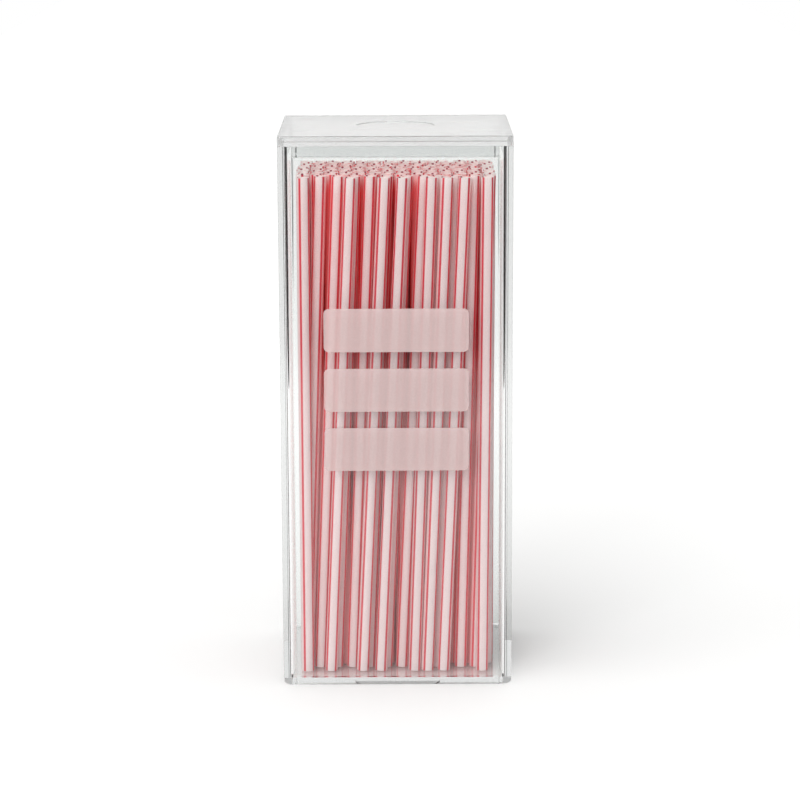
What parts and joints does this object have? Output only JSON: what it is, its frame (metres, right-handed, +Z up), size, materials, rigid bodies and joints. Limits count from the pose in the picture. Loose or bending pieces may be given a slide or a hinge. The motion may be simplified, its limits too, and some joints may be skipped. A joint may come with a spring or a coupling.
{
  "type": "drinking straw dispenser box",
  "caption": "Clear acrylic counter box with a lift-off lid on a locating plate, a plain frosted print and a full load of striped straight drinking straws.",
  "frame": {"origin": "centre of the underside, at the height of the surface it stands on", "axes": "+Z up along the straws, front wall with the print at -Y, +X to the right seen from the front"},
  "size_m": [0.09, 0.0761, 0.2175],
  "materials": {
    "clear_acrylic": "clear polished sheet",
    "frosted_ink": "translucent white frosted print",
    "straw_plastic": "satin white polypropylene with four narrow red stripes"
  },
  "bodies": {
    "box": {"base_plate": "clear_acrylic", "sleeve": "clear_acrylic", "frosted_print": "frosted_ink", "straw_1_01": "straw_plastic", "straw_1_02": "straw_plastic", "straw_1_03": "straw_plastic", "straw_1_04": "straw_plastic", "straw_1_05": "straw_plastic", "straw_1_06": "straw_plastic", "straw_1_07": "straw_plastic", "straw_1_08": "straw_plastic", "straw_2_01": "straw_plastic", "straw_2_02": "straw_plastic", "straw_2_03": "straw_plastic", "straw_2_04": "straw_plastic", "straw_2_05": "straw_plastic", "straw_2_06": "straw_plastic", "straw_2_07": "straw_plastic", "straw_2_08": "straw_plastic", "straw_2_09": "straw_plastic", "straw_2_10": "straw_plastic", "straw_2_11": "straw_plastic", "straw_row_03": "straw_plastic", "straw_row_04": "straw_plastic", "straw_row_05": "straw_plastic", "straw_row_06": "straw_plastic", "straw_row_07": "straw_plastic", "straw_row_08": "straw_plastic", "straw_row_09": "straw_plastic", "straw_row_10": "straw_plastic", "straw_row_11": "straw_plastic"},
    "lid": {"lid_plate": "clear_acrylic", "lid_locator": "clear_acrylic"}
  },
  "joints": [
    {"name": "lid_lift", "type": "slide", "parent": "box", "child": "lid", "axis": [0, 0, 1], "range_m": [0, 0.06]}
  ]
}
